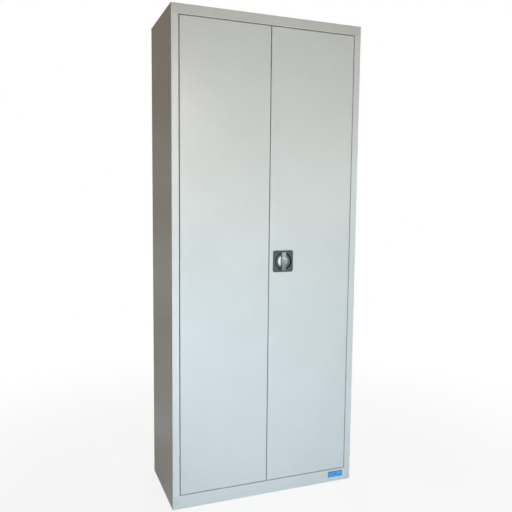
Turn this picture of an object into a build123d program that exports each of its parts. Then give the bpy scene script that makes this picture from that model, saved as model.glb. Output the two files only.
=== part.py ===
from build123d import *
from math import acos, cos, pi, radians, sin, sqrt, tan
import os

# A tall two-door tool cabinet of folded sheet steel, in millimetres, with +Z up.
# The origin is on the floor, in the middle of the carcass's footprint. The doors face -Y,
# and +X is to the right of someone who looks at them.

# Carcass
cabinet_width = 800.0
cabinet_depth = 370.0
cabinet_height = 1950.0
sheet = 1.0
bend_radius = 2.0
stile_width = 28.5
stile_lip = 12.0
header_height = 38.0
plinth_height = 55.0
plinth_return = 20.0
stop_lip = 14.0
side_flange = 15.0
roof_flange = 15.0
floor_flange = 20.0
seam_gap = 0.5
buffer_thickness = 4.0
buffer_radius = 5.0
buffer_inset = 110.0
cut_overrun = 5.0

# Slotted uprights and shelves
upright_width = 30.0
upright_depth = 12.0
upright_sheet = 1.5
upright_front_setback = 42.0
upright_rear_setback = 34.0
upright_foot_gap = 10.0
slot_pitch = 50.0
slot_margin = 30.0
slot_width = 10.0
slot_height = 14.0
shelf_height_shares = (0.2, 0.4, 0.6, 0.8)
shelf_fold = 25.0
shelf_border = 12.0
shelf_clearance = 0.5
shelf_front_setback = 16.0
shelf_rear_gap = 3.0
clip_sheet = 2.0
clip_width = 16.0
clip_height = 24.0
clip_ledge = 14.0
clip_tab_rise = 16.0
clip_tab_height = 3.0
clip_hook_drop = 6.0
clip_fit = 0.3

# Doors
door_gap = 3.0
door_depth = 24.0
door_border = 14.0
opening_angle = 110.0
stiffener_width = 34.0
stiffener_depth = 16.0
stiffener_foot = 15.0
stiffener_end_gap = 70.0

# Concealed hinges
hinge_height_shares = (0.09, 0.5, 0.91)
pin_radius = 2.5
running_clearance = 0.05
knuckle_radius = 4.5
knuckle_clearance = 0.5
frame_knuckle_length = 20.0
door_knuckle_length = 12.0
knuckle_gap = 0.3
hinge_leaf_sheet = 2.0
hinge_leaf_width = 24.0
hinge_leaf_bend_clearance = 1.5
hinge_arm_clearance = 4.0
hinge_swing_clearance = 0.6
hinge_notch_clearance = 2.0
pin_head_radius = 3.8
pin_head_height = 1.5

# Lock rose and turn handle, on levels counted outwards from the doors' front face
lock_edge_distance = 60.0
rose_size = 88.0
rose_corner = 8.0
rose_thickness = 4.0
rose_edge_chamfer = 1.0
rose_bore_radius = 36.0
rose_hole_clearance = 0.5
cup_wall = 2.0
boss_radius = 4.0
boss_inset = 6.0
boss_skin = 3.0
ring_gap = 3.5
disc_recess = 3.0
disc_thickness = 10.5
disc_float = 0.5
disc_edge_chamfer = 0.8
disc_rim_wall = 1.5
disc_web = 1.5
hub_radius = 7.5
hub_journal = 1.8
grip_seat_radius = 24.0
grip_seat_depth = 5.0
grip_rim = 0.8
grip_bowl_depth = 3.5
grip_bowl_chamfer = 2.5
grip_length = 76.0
grip_face_width = 18.5
grip_root_width = 19.3
grip_height = 9.0
grip_corner_round = 2.5
grip_end_round = 3.0
grip_flare_radius = 5.0
grip_lift = 0.6

# Lock cylinder, its plug and cam
cylinder_offset = 12.0
cylinder_radius = 8.0
cylinder_bezel = 0.8
cylinder_floor = 1.0
plug_radius = 6.0
plug_recess = 0.3
plug_tail_radius = 2.5
keyway_width = 1.6
keyway_height = 7.0
keyway_depth = 8.0
cam_clearance = 0.5
cam_width = 7.0
cam_length = 14.5
stop_rib_inner_radius = 23.5
stop_rib_outer_radius = 28.0
stop_rib_height = 3.5
stop_rib_start = 12.0
stop_rib_end = 78.0

# Rack and pinion works behind the rose
spindle_size = 8.0
spindle_reach = 4.0
base_plate_margin = 5.0
base_plate_corner = 4.0
base_plate_thickness = 2.0
cover_thickness = 1.5
rail_width = 4.0
slide_clearance = 0.3
gear_module = 1.5
gear_teeth = 16
gear_backlash = 0.3
pressure_angle = 20.0
addendum_share = 0.9
dedendum_share = 1.25
flank_steps = 3
journal_radius = 7.0
journal_gap = 0.2
rack_spare_teeth = 2
washer_radius = 9.5
washer_thickness = 1.5
retaining_screw_radius = 2.0
retaining_screw_length = 12.0
retaining_head_radius = 4.0
retaining_head_height = 3.0
rose_screw_radius = 1.6
rose_head_radius = 3.2
rose_head_height = 2.4
cover_screw_radius = 1.25
cover_screw_length = 6.0
cover_screw_inset = 6.0
cover_head_radius = 2.6
cover_head_height = 1.6

# Rods, bolts and their guides
rod_width = 8.0
rod_thickness = 3.5
rod_tip_taper = 6.0
rod_tip_narrowing = 2.0
rod_tip_recess = 1.0
rod_hole_clearance = 1.0
side_bolt_tip_inset = 0.4
guide_sheet = 1.5
guide_length = 15.0
rod_guide_shares = (0.25, 0.6, 0.94)
door_bolt_inset = 30.0
door_bolt_length = 160.0
door_bolt_guide_spacing = 100.0
door_bolt_knob_radius = 6.0
door_bolt_knob_height = 4.5
door_bolt_knob_chamfer = 1.0

# Places that follow from the carcass sizes
half_width = cabinet_width / 2
front = -cabinet_depth / 2
rear_skin = cabinet_depth / 2 - sheet
wall_inside = half_width - sheet
wall_height = cabinet_height - sheet
frame_depth = door_depth + buffer_thickness
opening_half_width = half_width - stile_width
header_bottom = cabinet_height - header_height
floor_top = plinth_height + stop_lip
door_bottom = plinth_height + door_gap
door_top = header_bottom - door_gap
door_height = door_top - door_bottom
door_width = opening_half_width - door_gap - door_gap / 2
door_middle = (door_top + door_bottom) / 2
door_free_edge = door_gap / 2
door_centre = door_free_edge + door_width / 2

# The pivot is far enough from the stile that the open door's face clears the stile's corner
overswing = radians(opening_angle) - pi / 2
hinge_setback = sheet + knuckle_clearance + knuckle_radius
hinge_reach = hinge_setback * (1 + sin(overswing)) + hinge_swing_clearance
pivot_inset = hinge_reach / cos(overswing) - door_gap
pivot_x = opening_half_width - door_gap - pivot_inset
pivot_y = front + hinge_setback
hinge_half_height = frame_knuckle_length / 2 + knuckle_gap + door_knuckle_length
hinge_heights = [door_bottom + share * door_height for share in hinge_height_shares]

# Slots of the uprights, and the slot that carries each shelf
upright_bottom = floor_top + upright_foot_gap
upright_length = header_bottom - upright_bottom
slot_count = int((upright_length - 2 * slot_margin - slot_height) / slot_pitch) + 1
slot_bottoms = [upright_bottom + slot_margin + index * slot_pitch for index in range(slot_count)]
shelf_slots = [round(share * (slot_count - 1)) for share in shelf_height_shares]
clip_bottoms = [slot_bottoms[index] - clip_tab_rise for index in shelf_slots]
shelf_tops = [bottom + clip_sheet + shelf_fold for bottom in clip_bottoms]
web_inside = wall_inside - upright_depth
upright_front = front + frame_depth + upright_front_setback
upright_rear = rear_skin - sheet - upright_rear_setback
shelf_front = front + frame_depth + sheet + shelf_front_setback
shelf_rear = rear_skin - sheet - shelf_rear_gap
shelf_half_width = web_inside - clip_sheet - shelf_clearance

# Levels of the lock, counted outwards from the doors' front face
rose_face = rose_thickness
disc_face = rose_face - disc_recess
grip_face = rose_face + grip_height
disc_back = disc_face - disc_thickness
seat_level = disc_face - grip_seat_depth
bowl_floor = disc_face - grip_bowl_depth
web_back = seat_level - disc_web
cup_floor = disc_back - disc_float
cup_back = cup_floor - cup_wall
base_back = cup_back - base_plate_thickness
front_layer = (base_back - slide_clearance - rod_thickness, base_back - slide_clearance)
rear_layer = (front_layer[0] - slide_clearance - rod_thickness, front_layer[0] - slide_clearance)
cover_front = rear_layer[0] - slide_clearance
cover_back = cover_front - cover_thickness
washer_front = cover_back - slide_clearance
spindle_front = seat_level + spindle_reach
cylinder_back = spindle_front + cylinder_floor
cylinder_face = grip_face + cylinder_bezel
lock_x = door_free_edge + lock_edge_distance
lock_z = door_middle
boss_spread = rose_size / 2 - boss_inset
base_plate_size = 2 * (boss_spread + base_plate_margin)

# Gear sizes: the racks run at the pinion's pitch radius
pitch_radius = gear_module * gear_teeth / 2
tooth_pitch = pi * gear_module
base_radius = pitch_radius * cos(radians(pressure_angle))
tip_radius = pitch_radius + addendum_share * gear_module
root_radius = pitch_radius - dedendum_share * gear_module
tooth_thickness = tooth_pitch / 2 - gear_backlash / 2
rack_root = pitch_radius + dedendum_share * gear_module
rack_tip = pitch_radius - addendum_share * gear_module
rod_offset = rack_root + rod_width / 2
rail_inside = rack_root + rod_width + slide_clearance
rail_outside = rail_inside + rail_width
door_bolt_x = door_free_edge + door_bolt_inset


def block(x_span, y_span, z_span):
    """A box between a pair of bounds along each axis."""
    corner = Pos(x_span[0], y_span[0], z_span[0])
    sizes = [span[1] - span[0] for span in (x_span, y_span, z_span)]
    return corner * Box(*sizes, align=(Align.MIN, Align.MIN, Align.MIN))


def round_bar(radius, low, high, at=(0, 0)):
    """A cylinder along Z between two levels."""
    return Pos(*at, low) * Cylinder(radius, high - low, align=(Align.CENTER, Align.CENTER, Align.MIN))


def span_about(middle, half):
    """The pair of bounds on both sides of a middle."""
    return (middle - half, middle + half)


def folded(points, radii, side, length, plane, thickness=sheet):
    """Sheet bent along an outline of its outer faces, as long as given and centred on the plane."""
    outline = FilletPolyline(*points, radius=radii).offset_2d(thickness, side=side, closed=True)
    return plane * extrude(Face(outline), amount=length / 2, both=True)


def pan(width, height, depth, border):
    """A folded pan with its face up at level 0, edges bent down, and a border turned in at the back."""
    outer = Box(width, height, depth, align=(Align.CENTER, Align.CENTER, Align.MAX))
    outer = fillet(outer.faces().sort_by(Axis.Z)[-1].edges(), bend_radius)
    inside = Box(
        width - 2 * sheet,
        height - 2 * sheet,
        depth - 2 * sheet,
        align=(Align.CENTER, Align.CENTER, Align.MAX),
    )
    inside = fillet(inside.faces().sort_by(Axis.Z)[-1].edges(), bend_radius - sheet)
    mouth = Box(width - 2 * border, height - 2 * border, sheet + cut_overrun)
    return outer - Pos(0, 0, -sheet) * inside - Pos(0, 0, -depth) * mouth


def face_plane(x, z):
    """The plane of the doors' front face, with its X to the right, its Y up and its Z outwards."""
    return Plane(origin=(x, front, z), x_dir=(1, 0, 0), z_dir=(0, -1, 0))


def mirrored(shape):
    """The same piece on the other side of the cabinet."""
    return mirror(shape, about=Plane.YZ)


def group(solids):
    """Separate solids that share one node."""
    return Compound(children=list(solids))


# Carcass


def left_side_panel():
    """Wall, stile, jamb and lips folded from one sheet, with the stile only between the rails."""
    jamb_back = front + frame_depth
    outline = [
        (-half_width + side_flange, rear_skin),
        (-half_width, rear_skin),
        (-half_width, front),
        (-opening_half_width, front),
        (-opening_half_width, jamb_back),
        (-opening_half_width - stile_lip, jamb_back),
    ]
    middle = Plane.XY.offset(wall_height / 2)
    panel = folded(outline, bend_radius, Side.LEFT, wall_height, middle)
    stile_x = (-wall_inside, -opening_half_width + cut_overrun)
    stile_y = (front - cut_overrun, jamb_back + cut_overrun)
    panel -= block(stile_x, stile_y, (header_bottom, cabinet_height))
    panel -= block(stile_x, stile_y, (-cut_overrun, plinth_height))
    flange_x = (-wall_inside, -half_width + side_flange)
    roof_y = (front + bend_radius, rear_skin - bend_radius)
    panel += block(flange_x, roof_y, (wall_height - sheet, wall_height))
    panel += block(flange_x, (front + plinth_return, rear_skin - sheet), (0, sheet))
    return panel


def rear_corner_cuts(low, high):
    """Room for the side panels' rear flanges at the two rear corners of a folded panel."""
    inner = half_width - side_flange - seam_gap
    y_span = (rear_skin - bend_radius, rear_skin + cut_overrun)
    corner = block((inner, half_width + cut_overrun), y_span, (low, high))
    return corner + mirrored(corner)


def rod_hole(x, z_middle):
    """The cut through a flat flange that lets a rod or a door bolt pass."""
    y_span = (
        front - front_layer[1] - rod_hole_clearance,
        front - front_layer[0] + rod_hole_clearance,
    )
    half = rod_width / 2 + rod_hole_clearance
    return block(span_about(x, half), y_span, span_about(z_middle, bend_radius + sheet))


def top_panel():
    """Roof, header rail, soffit over the doors and the stop lip behind them."""
    jamb_back = front + frame_depth
    outline = [
        (rear_skin, cabinet_height - roof_flange),
        (rear_skin, cabinet_height),
        (front, cabinet_height),
        (front, header_bottom),
        (jamb_back, header_bottom),
        (jamb_back, header_bottom - stop_lip),
    ]
    radii = [bend_radius, bend_radius, bend_radius, 0]
    panel = folded(outline, radii, Side.LEFT, cabinet_width, Plane.YZ)
    end_x = (wall_inside, half_width + cut_overrun)
    end = block(end_x, (front - cut_overrun, rear_skin + cut_overrun), (0, wall_height))
    panel -= end + mirrored(end)
    panel -= rear_corner_cuts(0, wall_height)
    soffit = header_bottom + sheet / 2
    panel -= rod_hole(lock_x - rod_offset, soffit)
    panel -= rod_hole(-door_bolt_x, soffit)
    return panel


def base_panel():
    """Plinth rail with its floor return, ledge under the doors, stop lip and cabinet floor."""
    jamb_back = front + frame_depth
    outline = [
        (front + plinth_return, 0),
        (front, 0),
        (front, plinth_height),
        (jamb_back, plinth_height),
        (jamb_back, floor_top),
        (rear_skin, floor_top),
        (rear_skin, floor_top - floor_flange),
    ]
    radii = [bend_radius, bend_radius, 0, bend_radius, bend_radius]
    panel = folded(outline, radii, Side.RIGHT, 2 * wall_inside, Plane.YZ)
    panel -= rear_corner_cuts(0, floor_top + cut_overrun)
    ledge = plinth_height - sheet / 2
    panel -= rod_hole(lock_x + rod_offset, ledge)
    panel -= rod_hole(-door_bolt_x, ledge)
    return panel


def back_panel():
    """A plain sheet over the rear flanges."""
    return block(span_about(0, half_width), (rear_skin, rear_skin + sheet), (0, cabinet_height))


def left_upright(y):
    """A channel on the left wall whose web has a column of slots for the shelf clips."""
    y_span = span_about(y, upright_width / 2)
    outline = [
        (-wall_inside, y_span[0]),
        (-web_inside, y_span[0]),
        (-web_inside, y_span[1]),
        (-wall_inside, y_span[1]),
    ]
    middle = Plane.XY.offset(upright_bottom + upright_length / 2)
    upright = folded(outline, bend_radius, Side.LEFT, upright_length, middle, upright_sheet)
    web_x = (-web_inside - upright_sheet - clip_fit, -web_inside + clip_fit)
    slot_y = span_about(y, slot_width / 2)
    slots = [block(web_x, slot_y, (bottom, bottom + slot_height)) for bottom in slot_bottoms]
    return upright - slots


def left_shelf_clip(y, bottom):
    """A bent clip: its hook goes through a slot and down behind the web, its ledge carries a shelf."""
    plate_x = (-web_inside, -web_inside + clip_sheet)
    ledge_x = (-web_inside, -web_inside + clip_sheet + clip_ledge)
    hook_back = -web_inside - upright_sheet - clip_fit - clip_sheet
    y_span = span_about(y, clip_width / 2)
    tab_y = span_about(y, slot_width / 2 - clip_fit)
    tab_bottom = bottom + clip_tab_rise
    clip = block(plate_x, y_span, (bottom, bottom + clip_height))
    clip += block(ledge_x, y_span, (bottom, bottom + clip_sheet))
    clip += block((hook_back, -web_inside), tab_y, (tab_bottom, tab_bottom + clip_tab_height))
    hook_z = (tab_bottom - clip_hook_drop, tab_bottom)
    clip += block((hook_back, hook_back + clip_sheet), tab_y, hook_z)
    return clip


def shelf_clips(bottom):
    """The four clips that carry one shelf."""
    left = [left_shelf_clip(y, bottom) for y in (upright_front, upright_rear)]
    return group(left + [mirrored(clip) for clip in left])


def shelf(top):
    """A folded tray, turned down and in on all four sides."""
    middle = Plane.XY.offset(top) * Pos(0, (shelf_front + shelf_rear) / 2, 0)
    return middle * pan(2 * shelf_half_width, shelf_rear - shelf_front, shelf_fold, shelf_border)


def door_buffers():
    """Rubber discs on the stop lips, which the closed doors rest against."""
    heights = [
        (header_bottom - stop_lip + door_top) / 2,
        (door_bottom + floor_top) / 2,
    ]
    buffers = []
    for x in (-buffer_inset, buffer_inset):
        for z in heights:
            disc = round_bar(buffer_radius, -frame_depth, -door_depth)
            buffers.append(face_plane(x, z) * disc)
    return group(buffers)


# Concealed hinges, drawn for the left door with the pivot at the origin


def hinge_pivot(z):
    """The place of a left hinge's pivot."""
    return Pos(-pivot_x, pivot_y, z)


def frame_leaf():
    """A leaf on the jamb whose arm goes round behind the door's edge to the middle knuckle."""
    half = frame_knuckle_length / 2
    z_span = (-half, half)
    jamb_x = -pivot_inset - door_gap
    edge_sweep = sqrt(pivot_inset**2 + hinge_setback**2)
    arm_y = edge_sweep + hinge_arm_clearance
    jamb_end = frame_depth - hinge_setback
    leaf = block((jamb_x, jamb_x + hinge_leaf_sheet), (arm_y, jamb_end), z_span)
    leaf += block((jamb_x, hinge_leaf_sheet / 2), (arm_y, arm_y + hinge_leaf_sheet), z_span)
    leaf += block(span_about(0, hinge_leaf_sheet / 2), (0, arm_y + hinge_leaf_sheet), z_span)
    leaf += round_bar(knuckle_radius, -half, half)
    return leaf - round_bar(pin_radius, -half - cut_overrun, half + cut_overrun)


def door_leaf():
    """A leaf behind the door's face with a knuckle above and below the frame leaf's."""
    sheet_back = sheet - hinge_setback
    plate_y = (sheet_back, sheet_back + hinge_leaf_sheet)
    half = hinge_half_height
    leaf = block((0, hinge_leaf_width), plate_y, (-half, half))
    leaf += round_bar(knuckle_radius, -half, half)
    room = knuckle_radius + hinge_leaf_bend_clearance
    gap_z = span_about(0, frame_knuckle_length / 2 + knuckle_gap)
    leaf -= block((-room, room), (-room, room), gap_z)
    bore = pin_radius + running_clearance
    return leaf - round_bar(bore, -half - cut_overrun, half + cut_overrun)


def hinge_pin():
    """A headed pin, held in the frame leaf's knuckle."""
    head_bottom = hinge_half_height + knuckle_gap
    pin = round_bar(pin_radius, -hinge_half_height, head_bottom)
    return pin + round_bar(pin_head_radius, head_bottom, head_bottom + pin_head_height)


def left_hinge_pieces(piece):
    """One piece at each of the left door's hinges."""
    return [hinge_pivot(z) * piece for z in hinge_heights]


# Doors


def left_door_blank():
    """The left door's folded pan, open where its hinges and door bolts pass."""
    plane = face_plane(-door_centre, door_middle)
    panel = plane * pan(door_width, door_height, door_depth, door_border)
    edge = opening_half_width - door_gap
    notch_x = (-edge - cut_overrun, -edge + door_border + cut_overrun)
    notch_y = (front + sheet, front + door_depth + cut_overrun)
    half = frame_knuckle_length / 2 + hinge_notch_clearance
    return panel - [block(notch_x, notch_y, span_about(z, half)) for z in hinge_heights]


def side_bolt_hole():
    """The cut through both doors' free edges that the side bolt passes."""
    x_span = span_about(0, door_free_edge + bend_radius + sheet)
    y_span = (
        front - rear_layer[1] - rod_hole_clearance,
        front - rear_layer[0] + rod_hole_clearance,
    )
    z_span = span_about(lock_z - rod_offset, rod_width / 2 + rod_hole_clearance)
    return block(x_span, y_span, z_span)


def left_door_panel():
    """The passive door, bolted by hand at its top and bottom."""
    top_flange = door_top - sheet / 2
    bottom_flange = door_bottom + sheet / 2
    panel = left_door_blank() - side_bolt_hole()
    return panel - rod_hole(-door_bolt_x, top_flange) - rod_hole(-door_bolt_x, bottom_flange)


def right_door_panel():
    """The active door, pierced for the lock's cup and bosses and for the two rods."""
    panel = mirrored(left_door_blank()) - side_bolt_hole()
    panel -= rod_hole(lock_x - rod_offset, door_top - sheet / 2)
    panel -= rod_hole(lock_x + rod_offset, door_bottom + sheet / 2)
    low, high = -sheet - cut_overrun, cut_overrun
    holes = round_bar(rose_bore_radius + cup_wall + rose_hole_clearance, low, high)
    for corner in boss_corners():
        holes += round_bar(boss_radius + rose_hole_clearance, low, high, corner)
    return panel - face_plane(lock_x, lock_z) * holes


def left_door_stiffener():
    """A hat section up the middle of the door's inner face."""
    foot_y = front + sheet
    crown_y = foot_y + stiffener_depth - sheet
    half = stiffener_width / 2
    outline = [
        (-half - stiffener_foot, foot_y),
        (-half, foot_y),
        (-half, crown_y),
        (half, crown_y),
        (half, foot_y),
        (half + stiffener_foot, foot_y),
    ]
    length = door_height - 2 * stiffener_end_gap
    section = folded(outline, bend_radius, Side.LEFT, length, Plane.XY.offset(door_middle))
    return Pos(-door_centre, 0, 0) * section


# Lock rose and turn handle, drawn on the door's face with Z outwards


def on_lock(shape):
    """Moves a piece from the lock's own axes to its place on the right door."""
    return face_plane(lock_x, lock_z) * shape


def boss_corners():
    """The places of the rose's four screw bosses."""
    return [(x, y) for x in (-boss_spread, boss_spread) for y in (-boss_spread, boss_spread)]


def ring_sector(inner, outer, start, end):
    """A flat piece of a ring between two angles."""
    far = CenterArc((0, 0), outer, start, end - start)
    near = CenterArc((0, 0), inner, start, end - start)
    return make_face([far, Line(far @ 1, near @ 1), near, Line(near @ 0, far @ 0)])


def lock_rose():
    """A square rose with the cup that the handle turns in, its bosses and the cam's stop rib.

    The rib is hollowed where the cam swings out while the handle is turned.
    """
    plate = extrude(RectangleRounded(rose_size, rose_size, rose_corner), rose_thickness)
    plate = chamfer(plate.faces().sort_by(Axis.Z)[-1].edges(), rose_edge_chamfer)
    rose = plate + round_bar(rose_bore_radius + cup_wall, cup_back, 0)
    for corner in boss_corners():
        rose += round_bar(boss_radius, cup_back, 0, corner)
        rose -= round_bar(rose_screw_radius, cup_back - cut_overrun, -boss_skin, corner)
    rose -= round_bar(rose_bore_radius, cup_floor, rose_face + cut_overrun)
    bore = hub_radius + running_clearance
    rose -= round_bar(bore, cup_back - cut_overrun, cup_floor + cut_overrun)
    rib = ring_sector(stop_rib_inner_radius, stop_rib_outer_radius, stop_rib_start, stop_rib_end)
    rib -= Pos(cylinder_offset, 0) * Circle(cam_length + cam_clearance)
    rose += Pos(0, 0, cup_floor) * extrude(rib, stop_rib_height)
    return on_lock(rose)


def square_bar(low, high):
    """The spindle's square section between two levels."""
    half = spindle_size / 2
    return block((-half, half), (-half, half), (low, high))


def handle_disc():
    """The round body of the handle: a seat for the grip in front, room for the cam behind."""
    disc_radius = rose_bore_radius - ring_gap
    disc = round_bar(disc_radius, disc_back, disc_face)
    disc = chamfer(disc.edges().sort_by(Axis.Z)[-1], disc_edge_chamfer)
    disc -= round_bar(grip_seat_radius, seat_level, disc_face + cut_overrun)
    disc -= round_bar(disc_radius - disc_rim_wall, disc_back - cut_overrun, web_back)
    disc += round_bar(hub_radius, cup_floor - hub_journal, seat_level)
    tail_bore = plug_tail_radius + running_clearance
    disc -= round_bar(tail_bore, disc_back, seat_level + cut_overrun, (0, cylinder_offset))
    return on_lock(disc - square_bar(cup_back, seat_level + cut_overrun))


def grip_bar():
    """The bar's section, flared into the bowl, run to a round and domed end."""
    half_face, half_root = grip_face_width / 2, grip_root_width / 2
    flare_top = bowl_floor + grip_flare_radius
    toe = half_root + grip_flare_radius
    flare_middle = grip_flare_radius * (1 - cos(pi / 4))
    left_arc = ThreePointArc(
        (-toe, bowl_floor),
        (-half_root - flare_middle, bowl_floor + flare_middle),
        (-half_root, flare_top),
    )
    right_arc = ThreePointArc(
        (half_root, flare_top),
        (half_root + flare_middle, bowl_floor + flare_middle),
        (toe, bowl_floor),
    )
    top = Polyline(
        (-half_root, flare_top), (-half_face, grip_face), (half_face, grip_face), (half_root, flare_top)
    )
    section = make_face([left_arc, top, right_arc, Line((toe, bowl_floor), (-toe, bowl_floor))])
    section = fillet(section.vertices().sort_by(Axis.Y)[-2:], grip_corner_round)
    bar = Plane.XZ * extrude(section, grip_length / 2, both=True)
    ends = round_bar(grip_length / 2, bowl_floor, grip_face)
    ends = fillet(ends.edges().sort_by(Axis.Z)[-1], grip_end_round)
    return bar & ends


def handle_grip():
    """The grip bar and the shallow bowl beside it, seated in the disc."""
    disc_radius = rose_bore_radius - ring_gap
    insert = round_bar(grip_seat_radius, seat_level, disc_face)
    bowl = round_bar(grip_seat_radius - grip_rim, bowl_floor, disc_face + cut_overrun)
    bowl = chamfer(bowl.edges().sort_by(Axis.Z)[0], grip_bowl_chamfer)
    beyond = grip_length
    around_seat = round_bar(beyond, seat_level, disc_face) - round_bar(
        grip_seat_radius, seat_level, disc_face
    )
    overhang = rose_face + grip_lift
    around_disc = round_bar(beyond, seat_level, overhang) - round_bar(disc_radius, seat_level, overhang)
    grip = insert - bowl + (grip_bar() - around_seat - around_disc)
    at = (0, cylinder_offset)
    grip -= round_bar(cylinder_radius, cylinder_back, cylinder_face + cut_overrun, at)
    tail_bore = plug_tail_radius + running_clearance
    grip -= round_bar(tail_bore, seat_level - cut_overrun, cylinder_back + cut_overrun, at)
    return on_lock(grip - square_bar(seat_level - cut_overrun, spindle_front))


def lock_cylinder():
    """The sleeve in the grip that the plug turns in."""
    at = (0, cylinder_offset)
    sleeve = round_bar(cylinder_radius, cylinder_back, cylinder_face, at)
    bore = plug_radius + running_clearance
    return on_lock(sleeve - round_bar(bore, cylinder_back - cut_overrun, cylinder_face + cut_overrun, at))


def cylinder_plug():
    """The plug with its keyway in front and a tail that carries the cam."""
    at = (0, cylinder_offset)
    plug_face = cylinder_face - plug_recess
    cam_back = disc_back + cam_clearance
    shoulder = cylinder_back + slide_clearance
    plug = round_bar(plug_radius, shoulder, plug_face, at)
    plug += round_bar(plug_tail_radius, cam_back, shoulder, at)
    keyway_y = span_about(cylinder_offset, keyway_height / 2)
    keyway_z = (plug_face - keyway_depth, plug_face + cut_overrun)
    return on_lock(plug - block(span_about(0, keyway_width / 2), keyway_y, keyway_z))


def plug_cam():
    """The arm that the plug swings out in front of the rose's stop rib."""
    reach = cam_length - cam_width / 2
    cam_front, cam_back = web_back - cam_clearance, disc_back + cam_clearance
    outline = SlotCenterToCenter(reach, cam_width) - Pos(reach / 2, 0) * Circle(plug_tail_radius)
    cam = extrude(outline, cam_front - cam_back)
    return on_lock(Pos(-reach / 2, cylinder_offset, cam_back) * cam)


# Rack and pinion works


def base_plate():
    """The plate behind the cup, with two rails that guide the rods and carry the cover."""
    plate = extrude(RectangleRounded(base_plate_size, base_plate_size, base_plate_corner), base_plate_thickness)
    plate = Pos(0, 0, base_back) * plate
    half = base_plate_size / 2
    for x_span in ((-rail_outside, -rail_inside), (rail_inside, rail_outside)):
        plate += block(x_span, (-half, half), (cover_front, base_back))
    bolt_y = (-rack_root - rod_width - slide_clearance, -rack_tip + slide_clearance)
    bolt_z = (cover_front - cut_overrun, rear_layer[1] + slide_clearance)
    plate -= block(span_about(0, half), bolt_y, bolt_z)
    bore = journal_radius + running_clearance
    plate -= round_bar(bore, base_back - cut_overrun, cup_back + cut_overrun)
    for corner in boss_corners():
        plate -= round_bar(rose_screw_radius, base_back - cut_overrun, cup_back + cut_overrun, corner)
    for corner in cover_screw_places():
        plate -= round_bar(cover_screw_radius, cover_front - cut_overrun, cover_screw_end(), corner)
    return on_lock(plate)


def cover_screw_places():
    """The ends of both rails, where the cover is screwed on."""
    x, y = (rail_inside + rail_outside) / 2, base_plate_size / 2 - cover_screw_inset
    return [(-x, -y), (-x, y), (x, -y), (x, y)]


def cover_screw_end():
    """The level that the cover screws reach."""
    return cover_front + cover_screw_length


def lock_cover():
    """The plate over the racks and the pinion."""
    cover = extrude(Rectangle(2 * rail_outside, base_plate_size), cover_thickness)
    cover = Pos(0, 0, cover_back) * cover
    low, high = cover_back - cut_overrun, cover_front + cut_overrun
    cover -= round_bar(journal_radius + running_clearance, low, high)
    for corner in cover_screw_places():
        cover -= round_bar(cover_screw_radius, low, high, corner)
    return on_lock(cover)


def screw(shank_radius, head_radius, head_height, head_level, tip_level, at):
    """A screw put in from behind: its head lies on the head level, its shank points outwards."""
    head = round_bar(head_radius, head_level - head_height, head_level, at)
    return head + round_bar(shank_radius, head_level, tip_level, at)


def rose_screws():
    """The screws through the base plate into the rose's bosses."""
    sizes = (rose_screw_radius, rose_head_radius, rose_head_height, base_back, -boss_skin)
    return group(on_lock(screw(*sizes, corner)) for corner in boss_corners())


def cover_screws():
    """The screws through the cover into the rails."""
    sizes = (cover_screw_radius, cover_head_radius, cover_head_height, cover_back, cover_screw_end())
    return group(on_lock(screw(*sizes, corner)) for corner in cover_screw_places())


def handle_spindle():
    """The square bar from the grip to behind the cover."""
    bar = square_bar(washer_front, spindle_front)
    hole_end = washer_front + retaining_screw_length
    return on_lock(bar - round_bar(retaining_screw_radius, washer_front - cut_overrun, hole_end))


def spindle_washer():
    """The washer that keeps the spindle from coming out forwards."""
    low = washer_front - washer_thickness
    washer = round_bar(washer_radius, low, washer_front)
    return on_lock(washer - round_bar(retaining_screw_radius, low - cut_overrun, cut_overrun))


def retaining_screw():
    """The screw in the spindle's end."""
    sizes = (retaining_screw_radius, retaining_head_radius, retaining_head_height)
    head_level = washer_front - washer_thickness
    return on_lock(screw(*sizes, head_level, washer_front + retaining_screw_length, (0, 0)))


def involute(angle):
    """The involute function of an angle in radians."""
    return tan(angle) - angle


def gear_outline():
    """The pinion's teeth, with involute flanks and a space at each rack."""
    half_at_pitch = tooth_thickness / (2 * pitch_radius) + involute(radians(pressure_angle))
    first_radius = max(base_radius, root_radius)
    step = (tip_radius - first_radius) / flank_steps
    flank = [(root_radius, half_at_pitch - involute(acos(base_radius / first_radius)))]
    for index in range(flank_steps + 1):
        radius = first_radius + index * step
        flank.append((radius, half_at_pitch - involute(acos(base_radius / radius))))
    points = []
    for tooth in range(gear_teeth):
        middle = (tooth + 1 / 2) * 2 * pi / gear_teeth
        points += [(radius, middle - half) for radius, half in flank]
        points += [(radius, middle + half) for radius, half in reversed(flank)]
    corners = [(radius * cos(angle), radius * sin(angle)) for radius, angle in points]
    return make_face(Polyline(*corners, close=True))


def rack_pinion():
    """The pinion as thick as both rack layers, with a journal in the base plate and in the cover."""
    gear_low, gear_high = rear_layer[0], front_layer[1]
    pinion = Pos(0, 0, gear_low) * extrude(gear_outline(), gear_high - gear_low)
    pinion += round_bar(journal_radius, gear_high, cup_back - journal_gap)
    pinion += round_bar(journal_radius, washer_front, gear_low)
    return on_lock(pinion - square_bar(washer_front - cut_overrun, cut_overrun))


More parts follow.
